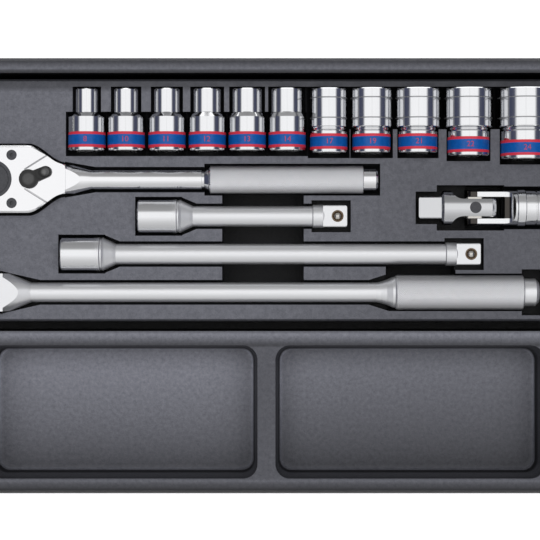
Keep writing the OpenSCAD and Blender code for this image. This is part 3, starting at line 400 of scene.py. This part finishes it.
band_blue, red_edge = (0.003, 0.06, 0.25), (0.44, 0.025, 0.045)
edge_width = 0.0016
for name in size_names:
    material, tree, shader = finish_material(f"size_band_{name}", band_blue, roughness=0.28)
    low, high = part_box(f"size_band_{name}")
    at = axes_of(tree, place(tree))
    from_middle = calculate(
        tree, "ABSOLUTE", calculate(tree, "SUBTRACT", at["Y"], (low.y + high.y) / 2)
    )
    edge = calculate(tree, "GREATER_THAN", from_middle, (high.y - low.y) / 2 - edge_width)
    blue = ramp(tree, noise(tree, 500.0), [(0.2, (0.002, 0.052, 0.215)), (0.8, (0.004, 0.074, 0.29))])
    link(tree, mix_colours(tree, edge, blue, red_edge), shader.inputs["Base Color"])
    shader.inputs["Specular IOR Level"].default_value = 0.22
    bump(tree, shader, noise(tree, 700.0), 0.00002, 0.4)
    dress(material, f"size_band_{name}")

# The size is printed in red on top of each band, as a plain number.
number_h = 0.0046
ink_thickness = 0.00006
ink_gap = 0.00005
number_red, tree, shader = finish_material("number_red", (0.32, 0.02, 0.07), roughness=0.4)
link(
    tree,
    ramp(tree, noise(tree, 1500.0), [(0.3, (0.27, 0.015, 0.06)), (0.8, (0.38, 0.03, 0.08))]),
    shader.inputs["Base Color"],
)
for name in size_names:
    low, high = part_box(f"size_band_{name}")
    text = bpy.data.curves.new(f"number_{name}", "FONT")
    text.body = str(int(name))
    text.align_x, text.align_y = "CENTER", "CENTER"
    text.size = number_h
    text.extrude = ink_thickness
    text.resolution_u = 3
    source = bpy.data.objects.new(f"number_{name}_text", text)
    bpy.context.scene.collection.objects.link(source)
    bpy.context.view_layer.update()
    mesh = bpy.data.meshes.new_from_object(source.evaluated_get(bpy.context.evaluated_depsgraph_get()))
    bpy.data.objects.remove(source)
    radius = (high.x - low.x) / 2
    middle_x, middle_y, middle_z = (low.x + high.x) / 2, (low.y + high.y) / 2, (low.z + high.z) / 2
    for vertex in mesh.vertices:
        turn = vertex.co.x / radius
        reach = radius + ink_gap + vertex.co.z
        vertex.co = (
            middle_x + reach * math.sin(turn), middle_y + vertex.co.y, middle_z + reach * math.cos(turn)
        )
    number = bpy.data.objects.new(f"size_number_{name}", mesh)
    bpy.context.scene.collection.objects.link(number)
    mesh.materials.clear()
    mesh.materials.append(number_red)
    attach(number, f"socket_{name}_unit")


def turned_rings(name, material, sections, steps, spot):
    """Closed rings in one piece: each section, in (radius, level) points, is carried round by spot."""
    corners, faces = [], []
    for section in sections:
        first = len(corners)
        for step in range(steps):
            turn = 2 * math.pi * step / steps
            corners += [spot(r, level, turn) for r, level in section]
            here = first + step * len(section)
            after = first + (step + 1) % steps * len(section)
            for k in range(len(section)):
                m = (k + 1) % len(section)
                faces.append((here + k, here + m, after + m, after + k))
    mesh = bpy.data.meshes.new(name)
    mesh.from_pydata(corners, [], faces)
    mesh.materials.append(material)
    mesh.polygons.foreach_set("use_smooth", [True] * len(faces))
    rings = bpy.data.objects.new(name, mesh)
    bpy.context.scene.collection.objects.link(rings)
    return rings


# Two fine rings are rolled into each plain barrel, and the plating is dull in them.
plain_barrels = size_names[6:]
ring_from_nose = (0.006, 0.018)
ring_steps = 72
ring_steel, tree, shader = finish_material("ring_steel", (0.36, 0.365, 0.38), 0.9, 0.4)
roll = noise(tree, 1300.0)
roughen(tree, shader, roll, [(0.3, 0.34), (0.8, 0.5)])
bump(tree, shader, roll, 0.00002, 0.5)
for name in plain_barrels:
    low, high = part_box(f"socket_{name}")
    middle_x, middle_z, radius = (low.x + high.x) / 2, (low.z + high.z) / 2, (high.x - low.x) / 2
    # a shallow hollow between the walls of the groove
    hollow = [
        (-0.00034, 0.0001), (-0.00002, 0.00003), (-0.00022, 0.00035), (-0.00002, 0.00067), (-0.00034, 0.0006),
    ]
    sections = [[(radius + r, high.y - depth + level) for r, level in hollow] for depth in ring_from_nose]
    rings = turned_rings(
        f"socket_rings_{name}", ring_steel, sections, ring_steps,
        lambda r, level, turn: (middle_x + r * math.cos(turn), level, middle_z + r * math.sin(turn)),
    )
    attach(rings, f"socket_{name}_unit")

# ---------------------------------------------------------------- ratchet
# A forged pear-head ratchet, plated and polished, with its cover plate screwed on.
# The gear, pawl, lever and screws are blackened steel.


def polished(name, colour, smooth, dull):
    """Hazy polished chrome, its tree and shader."""
    material, tree, shader = finish_material(name, colour, 1.0, smooth)
    haze = noise(tree, 140.0, 5.0, 0.6)
    roughen(tree, shader, haze, [(0.3, smooth), (0.8, dull)])
    bump(tree, shader, haze, 0.00002, 0.4)
    return material, tree, shader


head_colour, seam_shade_colour = (0.74, 0.74, 0.755), (0.22, 0.22, 0.23)
head_chrome, tree, shader = polished("head_chrome", head_colour, 0.09, 0.17)
# the open side of the cover's seam is a wedge about the lever's disc, and a painted shade line marks it
disc_r = 0.0056
lever_low, lever_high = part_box("reversing_lever")
lever_x, lever_y = lever_low.x + disc_r, lever_low.y + disc_r
wedge_shift, wedge_r, wedge_slope = 0.0008, 0.0066, math.radians(32)
seam_reach = 0.001
seam_shade_above = 0.0415
at = axes_of(tree, place(tree))
ahead = calculate(tree, "SUBTRACT", at["X"], lever_x + wedge_shift)
aside = calculate(tree, "ABSOLUTE", calculate(tree, "SUBTRACT", at["Y"], lever_y))
off_seam = calculate(
    tree, "SUBTRACT",
    calculate(tree, "MULTIPLY_ADD", aside, math.cos(wedge_slope), -wedge_r),
    calculate(tree, "MULTIPLY", ahead, math.sin(wedge_slope)),
)
near_seam = calculate(tree, "DIVIDE", calculate(tree, "ABSOLUTE", off_seam), seam_reach)
seam_shade = calculate(
    tree, "MULTIPLY",
    ramp(tree, near_seam, [(0.25, 1.0), (0.7, 0.0)]),
    calculate(
        tree, "MULTIPLY",
        calculate(tree, "GREATER_THAN", ahead, -wedge_r * math.sin(wedge_slope)),
        calculate(tree, "GREATER_THAN", at["Z"], seam_shade_above),
    ),
)
link(tree, mix_colours(tree, seam_shade, head_colour, seam_shade_colour), shader.inputs["Base Color"])
dress(head_chrome, "ratchet_handle", "ratchet_cover_plate")


def blackened(name):
    """Blackened steel, with its tree, shader and patina."""
    material, tree, shader = finish_material(name, (0.05, 0.051, 0.056), 0.6, 0.4)
    patina = noise(tree, 900.0, 4.0, 0.6)
    roughen(tree, shader, patina, [(0.3, 0.38), (0.8, 0.55)])
    bump(tree, shader, patina, 0.00004, 0.6)
    return material, tree, shader, patina


black_steel, tree, shader, patina = blackened("black_steel")
link(
    tree,
    ramp(tree, patina, [(0.25, (0.036, 0.037, 0.042)), (0.8, (0.072, 0.073, 0.080))]),
    shader.inputs["Base Color"],
)
dress(black_steel, "ratchet_cover_screws", "ratchet_gear", "ratchet_pawl")

# painted highlight: the lever is painted pale in the middle of its disc and of its lobe
lobe_r, lobe_along, lobe_across = 0.0034, 0.0100, 0.0041
lobe_x, lobe_y = lever_x + lobe_along, lever_y + lobe_across
lever_steel, tree, shader, patina = blackened("lever_steel")
highlight_spots = []
for centre_x, centre_y, radius, stops in (
    (lever_x, lever_y, disc_r, [(0.0, 0.072), (0.5, 0.062), (0.72, 0.018), (1.0, 0.022)]),
    (lobe_x, lobe_y, lobe_r, [(0.0, 0.15), (0.45, 0.11), (0.8, 0.020), (1.0, 0.022)]),
):
    at = axes_of(tree, place(tree))
    off_x = calculate(tree, "SUBTRACT", at["X"], centre_x)
    off_y = calculate(tree, "SUBTRACT", at["Y"], centre_y)
    squares = calculate(tree, "MULTIPLY_ADD", off_x, off_x, calculate(tree, "MULTIPLY", off_y, off_y))
    highlight_spots.append(ramp(tree, calculate(tree, "DIVIDE", calculate(tree, "SQRT", squares), radius), stops))
highlighted = calculate(tree, "MULTIPLY", calculate(tree, "MAXIMUM", *highlight_spots), calculate(tree, "ADD", patina, 0.5))
link(tree, ramp(tree, highlighted, [(0.0, 0.0), (1.0, 1.0)]), shader.inputs["Base Color"])
dress(lever_steel, "reversing_lever")

ground_steel, tree, shader = finish_material("ground_steel", (0.55, 0.53, 0.50), 1.0, 0.22)
scratches = noise(tree, 1100.0, 4.0, 0.6)
roughen(tree, shader, scratches, [(0.3, 0.16), (0.8, 0.34)])
bump(tree, shader, scratches, 0.00002, 0.5)
dress(
    ground_steel, "ratchet_pawl_pin", "lever_plunger", "lever_spring", "anvil_ball", "anvil_spring"
)

# ---------------------------------------------------------------- bars, flex handle and joint
# Drop-forged bars with satin chrome plating, brighter on their bells.
# The universal joint's yokes are polished, and its pins are blackened.

satin_chrome, tree, shader = finish_material("satin_chrome", (0.69, 0.695, 0.712), 0.86, 0.36)
drawn = noise(tree, 1500.0, 4.0, 0.6, (0.06, 1, 1))
roughen(tree, shader, drawn, [(0.3, 0.30), (0.75, 0.42)])
bump(tree, shader, drawn, 0.00003, 0.5)
dress(satin_chrome, "flex_handle", "flex_swivel_head")
bell_l = 0.0255
for name, pieces in (
    ("short_extension", ["short_extension"]), ("long_extension", ["long_extension_bell", "long_extension"]),
):
    bar_chrome = satin_chrome.copy()
    bar_chrome.name = f"{name}_chrome"
    tree = bar_chrome.node_tree
    shader = tree.nodes["Principled BSDF"]
    low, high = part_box(pieces[0])
    from_end = calculate(tree, "SUBTRACT", axes_of(tree, place(tree))["X"], low.x)
    past_bell = calculate(tree, "DIVIDE", from_end, 2 * bell_l)
    roughen(tree, shader, past_bell, [(0.0, 0.15), (0.38, 0.15), (0.5, 0.38), (1.0, 0.38)])
    link(tree, ramp(tree, past_bell, [(0.38, 1.0), (0.5, 0.86)]), shader.inputs["Metallic"])
    dress(bar_chrome, *pieces)

yoke_chrome, tree, shader = polished("yoke_chrome", (0.54, 0.545, 0.56), 0.12, 0.20)
dress(yoke_chrome, "joint_square_yoke")

# painted shade darkens the socket yoke round its pins and in its throat
pin_reach = 0.0016
throat_middle, throat_half, throat_half_w = 0.0196, 0.0020, 0.0064
yoke_shade_colour = (0.055, 0.050, 0.046)
shaded_yoke_chrome, tree, shader = finish_material("shaded_yoke_chrome", (0.70, 0.705, 0.72), 1.0, 0.16)
block_low, block_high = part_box("joint_centre_block")
cross_x, cross_y = (block_low.x + block_high.x) / 2, (block_low.y + block_high.y) / 2
at = axes_of(tree, place(tree))
along_joint = calculate(tree, "SUBTRACT", at["X"], cross_x)
off_middle = calculate(tree, "ABSOLUTE", calculate(tree, "SUBTRACT", at["Y"], cross_y))
at_pins = calculate(tree, "LESS_THAN", along_joint, pin_reach)
in_throat = calculate(
    tree, "MULTIPLY",
    calculate(tree, "COMPARE", along_joint, throat_middle, throat_half),
    calculate(tree, "LESS_THAN", off_middle, throat_half_w),
)
yoke_shade = calculate(tree, "MAXIMUM", at_pins, in_throat)
haze = noise(tree, 140.0, 5.0, 0.6)
unshaded_colour = ramp(tree, haze, [(0.2, (0.68, 0.685, 0.70)), (0.8, (0.73, 0.735, 0.75))])
link(tree, mix_colours(tree, yoke_shade, unshaded_colour, yoke_shade_colour), shader.inputs["Base Color"])
dress(shaded_yoke_chrome, "joint_socket_yoke")

dress(black_steel, "joint_square_pin", "joint_socket_pins")
dress(
    ground_steel, "short_extension_ball", "short_extension_spring", "long_extension_ball",
    "long_extension_spring", "flex_pivot_pin", "flex_ball", "flex_ball_spring", "joint_centre_block",
    "joint_ball", "joint_ball_spring",
)

# Each ball is held by a staked rim, which the hardening has left brown.
ball_proud = 0.0009
rim_steps = 40
staked_steel, tree, shader = finish_material("staked_steel", (0.20, 0.14, 0.09), 0.8, 0.45)
scorch = noise(tree, 1400.0, 3.0, 0.6)
link(
    tree,
    ramp(tree, scorch, [(0.3, (0.12, 0.085, 0.06)), (0.8, (0.30, 0.22, 0.15))]),
    shader.inputs["Base Color"],
)
bump(tree, shader, scorch, 0.00003, 0.6)
for name, body in (
    ("short_extension", "short_extension_unit"), ("long_extension", "long_extension_unit"),
    ("flex", "swivel_head_unit"),
):
    low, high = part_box(f"{name}_ball")
    middle_x, middle_y, ball_r = (low.x + high.x) / 2, (low.y + high.y) / 2, (high.x - low.x) / 2
    flat_z = high.z - ball_proud
    # the section follows the countersink round the ball
    countersink = [
        (-0.00025, -0.0006), (0.00013, -0.00095), (0.00103, -0.00005), (0.00103, 0.00004), (0.0007, 0.00004),
    ]
    section = [(ball_r + r, flat_z + level) for r, level in countersink]
    rim = turned_rings(
        f"{name}_ball_rim", staked_steel, [section], rim_steps,
        lambda r, level, turn: (middle_x + r * math.cos(turn), middle_y - r * math.sin(turn), level),
    )
    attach(rim, body)

# ---------------------------------------------------------------- knurled grips
# Both grips are rolled between knurling wheels, which raise rows of small diamonds.
# The plating on the diamonds is satin, and painted shade darkens the grips' sides.

ratchet_grip_l, ratchet_grip_r, ratchet_cap_l = 0.0908, 0.0082, 0.0088
flex_grip_l, flex_grip_r, flex_cap_l = 0.0748, 0.0102, 0.0096
diamond_pitch, diamond_crest = 0.0013, 0.00024
diamond_base_r, diamond_top_r = diamond_pitch * 0.5, diamond_pitch * 0.12
handle_low, handle_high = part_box("flex_handle")
tool_axis_z = (handle_low.z + handle_high.z) / 2


def knurl(name, handle, length, radius, cap_l):
    """Diamonds raised round a handle that lies along x, up to its end cap, as one mesh."""
    low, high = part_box(handle)
    start_x = high.x - cap_l - length
    axis_y = (low.y + high.y) / 2
    around = round(2 * math.pi * radius / diamond_pitch)
    rows = round(length / diamond_pitch)
    tree = bpy.data.node_groups.new(f"{name}_knurling", "GeometryNodeTree")
    tree.interface.new_socket("Geometry", in_out="OUTPUT", socket_type="NodeSocketGeometry")
    for label, kind, value in (
        ("Around", "NodeSocketInt", around), ("Rows", "NodeSocketInt", rows * 2),
        ("Radius", "NodeSocketFloat", radius), ("Length", "NodeSocketFloat", length),
        ("Crest", "NodeSocketFloat", diamond_crest),
    ):
        socket = tree.interface.new_socket(label, in_out="INPUT", socket_type=kind)
        socket.default_value = value
    sizes = tree.nodes.new("NodeGroupInput").outputs

    def maths(operation, *values):
        return calculate(tree, operation, *values)

    line = tree.nodes.new("GeometryNodeMeshLine")
    line.mode = "OFFSET"
    link(tree, maths("MULTIPLY", sizes["Around"], sizes["Rows"]), line.inputs["Count"])
    index = tree.nodes.new("GeometryNodeInputIndex").outputs[0]
    row = maths("FLOOR", maths("DIVIDE", maths("ADD", index, 0.5), sizes["Around"]))
    column = maths("SUBTRACT", index, maths("MULTIPLY", row, sizes["Around"]))
    # every second row is set half a diamond further round
    odd = maths("MULTIPLY", maths("MODULO", row, 2.0), 0.5)
    angle = maths("DIVIDE", maths("MULTIPLY", maths("ADD", column, odd), 2 * math.pi), sizes["Around"])
    along_x = maths("DIVIDE", maths("MULTIPLY", maths("ADD", row, 0.5), sizes["Length"]), sizes["Rows"])
    spot = tree.nodes.new("ShaderNodeCombineXYZ")
    link(tree, along_x, spot.inputs["X"])
    inwards = maths("MULTIPLY", sizes["Radius"], -1.0)
    link(tree, maths("MULTIPLY", maths("SINE", angle), inwards), spot.inputs["Y"])
    link(tree, maths("MULTIPLY", maths("COSINE", angle), sizes["Radius"]), spot.inputs["Z"])
    put = tree.nodes.new("GeometryNodeSetPosition")
    link(tree, line.outputs[0], put.inputs["Geometry"])
    link(tree, spot.outputs[0], put.inputs["Position"])
    diamond = tree.nodes.new("GeometryNodeMeshCone")
    diamond.fill_type = "NGON"
    diamond.inputs["Vertices"].default_value = 4
    diamond.inputs["Radius Top"].default_value = diamond_top_r
    diamond.inputs["Radius Bottom"].default_value = diamond_base_r
    link(tree, sizes["Crest"], diamond.inputs["Depth"])
    turn = tree.nodes.new("ShaderNodeCombineXYZ")
    link(tree, angle, turn.inputs["X"])
    copies = tree.nodes.new("GeometryNodeInstanceOnPoints")
    link(tree, put.outputs[0], copies.inputs["Points"])
    link(tree, diamond.outputs["Mesh"], copies.inputs["Instance"])
    link(tree, turn.outputs[0], copies.inputs["Rotation"])
    real = tree.nodes.new("GeometryNodeRealizeInstances")
    link(tree, copies.outputs[0], real.inputs[0])
    finish = tree.nodes.new("GeometryNodeSetMaterial")
    finish.inputs["Material"].default_value = knurled_chrome
    link(tree, real.outputs[0], finish.inputs[0])
    link(tree, finish.outputs[0], tree.nodes.new("NodeGroupOutput").inputs[0])

    seed = bpy.data.objects.new(f"{name}_seed", bpy.data.meshes.new(f"{name}_seed"))
    bpy.context.scene.collection.objects.link(seed)
    modifier = seed.modifiers.new("knurling", "NODES")
    modifier.node_group = tree
    bpy.context.view_layer.update()
    mesh = bpy.data.meshes.new_from_object(seed.evaluated_get(bpy.context.evaluated_depsgraph_get()))
    bpy.data.objects.remove(seed)
    for vertex in mesh.vertices:
        vertex.co = (vertex.co.x + start_x, vertex.co.y + axis_y, vertex.co.z + tool_axis_z)
    grip = bpy.data.objects.new(name, mesh)
    bpy.context.scene.collection.objects.link(grip)
    return grip


knurled_chrome, tree, shader = finish_material("knurled_chrome", (0.90, 0.905, 0.92), 1.0, 0.42)
roughen(tree, shader, noise(tree, 1200.0), [(0.3, 0.32), (0.8, 0.46)])
bump(tree, shader, noise(tree, 2200.0), 0.00003, 0.5)
# the level at which the painted shade on the grips' sides ends, above the axis, and how much higher it is on
# the flex handle
side_shade_top, side_shade_more, between_grips_y = 0.0097, 0.0034, 0.02
at = axes_of(tree, place(tree))
on_flex = calculate(tree, "MULTIPLY", calculate(tree, "LESS_THAN", at["Y"], between_grips_y), side_shade_more)
reach = calculate(tree, "ADD", on_flex, side_shade_top)
side = calculate(tree, "DIVIDE", calculate(tree, "SUBTRACT", at["Z"], tool_axis_z), reach)
# painted shade: the grips' colour darkens from their tops down their sides
side_shade = ramp(
    tree, side,
    [
        (0.36, (0.40, 0.40, 0.41)), (0.52, (0.56, 0.56, 0.57)), (0.66, (0.80, 0.80, 0.815)),
        (0.76, (0.92, 0.925, 0.94)),
    ],
)
link(tree, side_shade, shader.inputs["Base Color"])

ratchet_knurl = knurl(
    "ratchet_grip_knurl", "ratchet_handle", ratchet_grip_l, ratchet_grip_r, ratchet_cap_l
)
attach(ratchet_knurl, "ratchet_unit")
flex_knurl = knurl("flex_grip_knurl", "flex_handle", flex_grip_l, flex_grip_r, flex_cap_l)
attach(flex_knurl, "flex_handle_unit")
